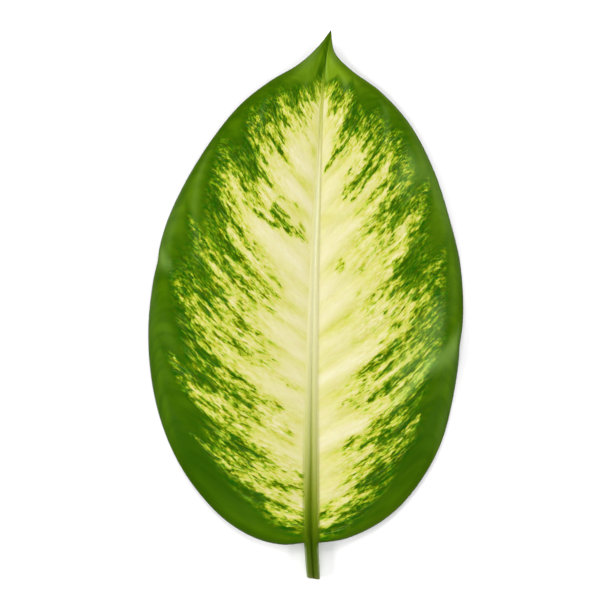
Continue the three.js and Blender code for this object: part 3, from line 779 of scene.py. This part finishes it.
def colour(red, green, blue):
    """A colour as it is seen in the studio light, from 0 to 255, as the shader wants it."""
    seen = np.array([red, green, blue]) / 255
    linear = np.where(seen <= 0.04045, seen / 12.92, ((seen + 0.055) / 1.055) ** 2.4)
    return (*(linear / LIGHT_LEVEL).tolist(), 1.0)


class Nodes:
    """Makes the nodes of one material. Inputs are sockets or plain values."""

    def __init__(self, name):
        self.material = bpy.data.materials.new(name)
        self.material.use_nodes = True
        self.tree = self.material.node_tree
        self.tree.nodes.clear()

    def put(self, kind, inputs, output=0, **settings):
        made = self.tree.nodes.new("ShaderNode" + kind)
        for name, value in settings.items():
            setattr(made, name, value)
        for name, value in inputs.items():
            if isinstance(value, bpy.types.NodeSocket):
                self.tree.links.new(value, made.inputs[name])
            else:
                made.inputs[name].default_value = value
        return made.outputs[output]

    def attribute(self, name):
        return self.put("Attribute", {}, "Vector", attribute_name=name)

    def parts(self, vector):
        return list(self.put("SeparateXYZ", {"Vector": vector}).node.outputs)

    def math(self, operation, first, second=0.0, third=0.0):
        return self.put("Math", {0: first, 1: second, 2: third}, operation=operation)

    def add(self, first, second):
        return self.math("ADD", first, second)

    def times(self, first, second):
        return self.math("MULTIPLY", first, second)

    def smooth(self, value, start, end, low=0.0, high=1.0):
        """Goes softly from low to high as the value goes from start to end."""
        return self.put(
            "MapRange",
            {"Value": value, "From Min": start, "From Max": end, "To Min": low, "To Max": high},
            interpolation_type="SMOOTHSTEP",
        )

    def scaled(self, vector, scale):
        return self.put("VectorMath", {0: vector, 1: scale}, operation="MULTIPLY")

    def noise(self, vector, detail=2.0, roughness=0.5, distortion=0.0):
        return self.put("TexNoise", {
            "Vector": vector, "Scale": 1.0, "Detail": detail, "Roughness": roughness,
            "Distortion": distortion,
        }, "Fac")

    def mosaic(self, vector, scale, raggedness):
        """A random value for each cell of a mosaic with ragged edges."""
        shift = self.put("TexNoise", {"Vector": self.scaled(vector, scale), "Scale": 1.0}, "Color")
        shift = self.put("VectorMath", {0: shift, 1: (0.5, 0.5, 0.5)}, operation="SUBTRACT")
        shift = self.scaled(shift, raggedness)
        shifted = self.put("VectorMath", {0: vector, 1: shift}, operation="ADD")
        cells = {"Vector": self.scaled(shifted, scale), "Scale": 1.0}
        shade = self.put("TexVoronoi", cells, "Color")
        return self.parts(shade)[0]

    def mix(self, share, first, second):
        """Blends two colours."""
        return self.put("Mix", {0: share, 6: first, 7: second}, 2, data_type="RGBA")

    def ramp(self, value, stops):
        """Colours along a value, which may lie outside 0 to 1."""
        lowest, highest = stops[0][0], stops[-1][0]
        share = self.put("MapRange", {"Value": value, "From Min": lowest, "From Max": highest})
        socket = self.put("ValToRGB", {"Fac": share}, "Color")
        elements = socket.node.color_ramp.elements
        elements[0].position, elements[0].color = 0, colour(*stops[0][1])
        elements[1].position, elements[1].color = 1, colour(*stops[-1][1])
        for place, shade in stops[1:-1]:
            elements.new((place - lowest) / (highest - lowest)).color = colour(*shade)
        return socket

    def finished(self, shader):
        output = self.tree.nodes.new("ShaderNodeOutputMaterial")
        self.tree.links.new(shader, output.inputs["Surface"])
        return self.material


# From clear cream over yellow-green flecks to dark green ones, by greenness.
FLECK_COLOURS = [
    (-0.6, (246, 242, 206)), (-0.3, (238, 232, 178)), (0.0, (230, 226, 152)),
    (0.16, (223, 221, 124)), (0.3, (214, 217, 96)), (0.42, (191, 207, 55)), (0.54, (149, 178, 25)),
    (0.68, (103, 143, 8)), (0.84, (66, 112, 2)), (1.0, (46, 92, 0)),
]
MARGIN_GREEN = colour(76, 116, 2)
DEEP_MARGIN_GREEN = colour(60, 100, 0)
EDGE_SHADE_GREEN = colour(48, 80, 0)
TIP_GREEN = colour(122, 158, 22)
DEEPEST_GREEN = colour(46, 88, 0)
HAIR_GREEN = colour(178, 206, 104)
PAINTED_SHEEN_COLOUR = colour(190, 230, 118)
RIM_BROWN = colour(70, 60, 34)
PETIOLE_FLANK = colour(158, 170, 126)
UNDER_GREEN = colour(126, 160, 92)
CUT_CORE = colour(176, 192, 120)

# Fineness of each pattern: along the veins, across them, and between the two sides.
RAYS = (0.015, 0.3, 0.3)
STREAKS = (0.05, 0.22, 0.3)
FLECKS = (0.17, 0.52, 0.3)
FINE_FLECKS = (0.42, 1.15, 0.3)
MOSAIC = (0.5, 1.25, 0.3)
MOSAIC_RAGGEDNESS = (3, 1, 0)
MOTTLING = (0.07, 0.2, 0.3)
TINTS = (0.2, 0.7, 0.7)
HAIRS = (0.06, 1.8, 0.3)
FLECK_STRENGTH = 1.35
FINE_FLECK_STRENGTH = 0.7
MOSAIC_STRENGTH = 0.42
MOTTLING_STRENGTH = 0.5

# The midrib and petiole from the cut end to the tip of the leaf, by "a".
STEM_COLOURS = [
    (-0.07, (105, 115, 60)), (-0.06, (87, 106, 28)), (0, (68, 95, 4)), (0.05, (114, 137, 16)),
    (0.1, (150, 162, 58)), (0.2, (194, 197, 114)), (0.3, (218, 216, 148)), (0.45, (232, 228, 174)),
    (0.76, (220, 217, 138)), (0.86, (198, 204, 86)), (0.9, (140, 170, 28)), (0.93, (72, 114, 4)),
    (1, (60, 104, 2)),
]
GROOVE_SHADE = (0.45, 0.55, 0.02)  # how much of the midrib's colour the painted groove shadow leaves where it is darkest
GROOVE_CREAM = colour(252, 250, 206)


def leaf_material():
    nodes = Nodes("leaf_waxy")
    place = nodes.attribute("vein_place")
    along = nodes.parts(place)[0]
    green, crest, r = nodes.parts(nodes.attribute("tone"))
    bloom, bright, swells = nodes.parts(nodes.attribute("painted_light_and_tint"))
    stem_x, stem_a, in_stem = nodes.parts(nodes.attribute("stem"))
    from_edge, below, cut = nodes.parts(nodes.attribute("edge"))

    # Streaks, flecks and a mosaic along the veins, which are longest near the leaf's base.
    shortening = nodes.smooth(stem_a, 0.3, 0.8, 0.9, 1.35)
    place = nodes.scaled(place, nodes.put("CombineXYZ", {"X": shortening, "Y": 1.0, "Z": 1.0}))
    rays = nodes.noise(nodes.scaled(place, RAYS), 1, 0.5)
    streaks = nodes.noise(nodes.scaled(place, STREAKS), 1, 0.5, 0.3)
    flecks = nodes.noise(nodes.scaled(place, FLECKS), 2, 0.55, 0.4)
    fine_flecks = nodes.noise(nodes.scaled(place, FINE_FLECKS), 1, 0.5, 0.4)
    mosaic = nodes.mosaic(place, MOSAIC, MOSAIC_RAGGEDNESS)
    layers = (
        (streaks, nodes.smooth(green, 0.5, 0.85, 1.4, 0.5)),
        (flecks, FLECK_STRENGTH),
        (fine_flecks, FINE_FLECK_STRENGTH),
        (mosaic, MOSAIC_STRENGTH),
    )
    pattern = 0.0
    for layer, strength in layers:
        pattern = nodes.add(pattern, nodes.times(nodes.add(layer, -0.5), strength))
    liveliness = nodes.smooth(green, 0.0, 0.35, 0.2, 1.0)
    liveliness = nodes.times(liveliness, nodes.smooth(stem_a, 0.93, 0.83, 0.5, 1.0))
    calm = nodes.smooth(green, 0.72, 1.0, 1.0, 0.35)
    level = nodes.add(green, nodes.times(pattern, nodes.times(liveliness, calm)))
    # Painted relief light and shade: the clear cream is painted palest by the midrib and midway
    # between the side veins, where the blade swells, and greener along the sunken veins, where it
    # lies in shade.
    swelling = nodes.times(nodes.add(crest, -0.5), nodes.smooth(r, 0.65, 0.35, 0, -0.2))
    mottling = nodes.noise(nodes.scaled(place, MOTTLING), 2, 0.5)
    mottling = nodes.times(nodes.add(mottling, -0.5), MOTTLING_STRENGTH)
    level = nodes.add(nodes.add(level, swelling), mottling)
    # Painted highlights and shade of the relief, and soft corrections of the colour.
    level = nodes.add(level, swells)
    blade = nodes.ramp(level, FLECK_COLOURS)

    # The green of the flecks turns here towards olive and there towards a fresher green. Lone
    # flecks in the cream are the most olive ones.
    tints = nodes.add(nodes.noise(nodes.scaled(place, TINTS), 2, 0.6), -0.52)
    turn = nodes.times(tints, nodes.smooth(level, 0.1, 0.45, 0.06, 0.18))
    lone = nodes.times(nodes.smooth(green, 0.75, 0.35), nodes.smooth(level, 0.35, 0.6, 0, 0.015))
    turn = nodes.math("SUBTRACT", turn, lone)
    blade = nodes.put("HueSaturation", {"Color": blade, "Hue": nodes.add(turn, 0.5)})

    # The even green towards the margin, lighter in some listed places and deeper in others. At the
    # tip the lighter green is painted light on the side that faces the light.
    solid = nodes.smooth(green, 0.85, 1.15)
    margin = nodes.mix(nodes.smooth(streaks, 0.3, 0.7), DEEP_MARGIN_GREEN, MARGIN_GREEN)
    margin = nodes.mix(bright, margin, TIP_GREEN)
    margin = nodes.mix(nodes.times(bright, -1), margin, DEEPEST_GREEN)
    # Painted shade: the green turns darker within a few millimetres of the edge, where the margin
    # turns down.
    margin = nodes.mix(nodes.smooth(from_edge, 4.5, 1.0, 0, 0.6), margin, EDGE_SHADE_GREEN)
    blade = nodes.mix(nodes.times(solid, nodes.smooth(level, 0.6, 0.75)), blade, margin)

    # Pale hair lines where the fine veins of the green parts shine.
    hairs = nodes.smooth(nodes.noise(nodes.scaled(place, HAIRS), 1, 0.5), 0.55, 0.75)
    hairs = nodes.times(hairs, nodes.smooth(green, 0.4, 0.7, 0, 0.25))
    hairs = nodes.times(hairs, nodes.smooth(green, 1.0, 0.8))
    blade = nodes.mix(hairs, blade, HAIR_GREEN)
    # Painted sheen, mixed in as a pale grey-green.
    blade = nodes.mix(bloom, blade, PAINTED_SHEEN_COLOUR)

    # Midrib and petiole: lengthwise lines and a channel, which is broad at the midrib's foot and
    # carries painted shadow.
    # There the blade beside it is painted in the midrib's colour, as painted shade beside the
    # raised midrib.
    lines = nodes.noise(nodes.put("CombineXYZ", {
        "X": nodes.times(stem_x, 1.3), "Y": nodes.times(stem_a, 5.0),
    }), 2, 0.6)
    foot = nodes.times(nodes.smooth(stem_a, 0.18, 0.05), nodes.smooth(stem_a, 0.0, 0.02))
    from_groove = nodes.add(stem_x, nodes.math("MULTIPLY_ADD", foot, 0.6, -0.1))
    reach = nodes.math("MULTIPLY_ADD", foot, 1.5, 1.2)
    channel = nodes.smooth(nodes.math("ABSOLUTE", from_groove), reach, 0.05)
    channel = nodes.math("MAXIMUM", channel, nodes.smooth(lines, 0.5, 0.8, 0, 0.5))
    # The channel is painted darker than the rest at the foot and the tip, as painted shadow in the
    # groove, and paler beyond the middle.
    stem = nodes.ramp(stem_a, STEM_COLOURS)
    groove_shadow = nodes.smooth(stem_a, 0.42, 0.04)
    groove_shadow = nodes.add(groove_shadow, nodes.smooth(stem_a, 0.86, 0.93, 0, 0.4))
    groove = nodes.mix(groove_shadow, stem, nodes.scaled(stem, GROOVE_SHADE))
    paling = nodes.times(nodes.smooth(stem_a, 0.4, 0.6, 0, 0.7), nodes.smooth(stem_a, 0.82, 0.68))
    groove = nodes.mix(paling, groove, GROOVE_CREAM)
    stem = nodes.mix(channel, stem, groove)
    flank = nodes.smooth(nodes.math("ABSOLUTE", stem_x), 1.9, 3.0)
    flank = nodes.times(flank, nodes.smooth(stem_a, 0.0, -0.015, 0, 0.6))
    stem = nodes.mix(flank, stem, PETIOLE_FLANK)
    shade_beside_midrib = nodes.times(nodes.smooth(along, 1.3, 0), nodes.smooth(stem_a, 0.38, 0.1, 0, 0.65))
    blade = nodes.mix(nodes.math("MAXIMUM", in_stem, shade_beside_midrib), blade, stem)

    # Thin dark rim, paler underside and the cut through the petiole.
    blade = nodes.mix(nodes.smooth(from_edge, 0.45, 0.1, 0, 0.7), blade, RIM_BROWN)
    blade = nodes.mix(nodes.times(below, 0.55), blade, UNDER_GREEN)
    blade = nodes.mix(nodes.smooth(cut, 0.1, 0.5), blade, CUT_CORE)

    # Fine veins between the side veins, as a faint relief.
    bump = nodes.put("Bump", {"Strength": 0.5, "Distance": 0.0004, "Height": rays})
    roughness = nodes.smooth(flecks, 0.3, 0.7, 0.26, 0.34)
    gloss = nodes.smooth(from_edge, 0.5, 14.0, 0.04, 0.16)
    shader = nodes.put("BsdfPrincipled", {
        "Base Color": blade, "Roughness": roughness, "Specular IOR Level": gloss, "Normal": bump,
    })
    return nodes.finished(shader)


leaf.data.materials.append(leaf_material())
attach(leaf, "root")
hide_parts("leaf")


FLOOR_REACH = 4
FLOOR_DROP = 0.0002  # keeps it clear of the leaf


def pale_floor():
    square = ((-1, -1), (1, -1), (1, 1), (-1, 1))
    corners = [(x * FLOOR_REACH, y * FLOOR_REACH, 0) for x, y in square]
    mesh = bpy.data.meshes.new("floor")
    mesh.from_pydata(corners, [], [(0, 1, 2, 3)])
    floor = bpy.data.objects.new("floor", mesh)
    floor.location.z = -FLOOR_DROP
    bpy.context.scene.collection.objects.link(floor)
    nodes = Nodes("floor_pale")
    shader = nodes.put("BsdfPrincipled", {
        "Base Color": (0.9, 0.9, 0.9, 1), "Roughness": 0.9, "Specular IOR Level": 0.1,
    })
    mesh.materials.append(nodes.finished(shader))


def softbox(name, azimuth, elevation, distance, width, height, power, glossy=True):
    """An area light that faces the leaf from a direction in degrees, with or without gloss."""
    light = bpy.data.lights.new(name, "AREA")
    light.shape = "RECTANGLE"
    light.size = width
    light.size_y = height
    light.energy = power
    lamp = bpy.data.objects.new(name, light)
    lamp.visible_glossy = glossy
    turn, rise = math.radians(azimuth), math.radians(elevation)
    flat = math.cos(rise)
    towards = Vector((math.sin(turn) * flat, math.cos(turn) * flat, math.sin(rise)))
    lamp.location = towards * distance
    lamp.rotation_euler = towards.to_track_quat("Z", "Y").to_euler()
    bpy.context.scene.collection.objects.link(lamp)


pale_floor()
softbox("light_left", -90, 25, 1.3, 1.2, 0.65, 22, glossy=False)
softbox("light_right", 90, 25, 1.3, 1.2, 0.65, 15.5, glossy=False)
softbox("light_far", 0, 34, 1.6, 1.4, 0.9, 20, glossy=False)
softbox("light_near", 180, 34, 1.6, 1.4, 0.9, 14, glossy=False)
softbox("light_sheen", 0, 14, 1.8, 1.4, 0.35, 5)

WORLD_STRENGTH = 0.06
world = bpy.data.worlds.new("studio")
world.use_nodes = True
background = world.node_tree.nodes["Background"].inputs
background["Color"].default_value = (1, 1, 1, 1)
background["Strength"].default_value = WORLD_STRENGTH
bpy.context.scene.world = world
bpy.context.scene.view_settings.view_transform = "Standard"

# The camera looks straight down on the leaf, with the tip away from the viewer.
FOCAL_LENGTH = 135
SENSOR_WIDTH = 36
VIEW_WIDTH = 0.27
VIEW_CENTRE = (-0.00259, 0.00203)
LEAF_LEVEL = 0.004  # the height at which the view has that width
camera_data = bpy.data.cameras.new("camera")
camera_data.lens = FOCAL_LENGTH
camera_data.sensor_width = SENSOR_WIDTH
camera = bpy.data.objects.new("camera", camera_data)
distance = VIEW_WIDTH * FOCAL_LENGTH / SENSOR_WIDTH
camera.location = (*VIEW_CENTRE, distance + LEAF_LEVEL)
bpy.context.scene.collection.objects.link(camera)
bpy.context.scene.camera = camera
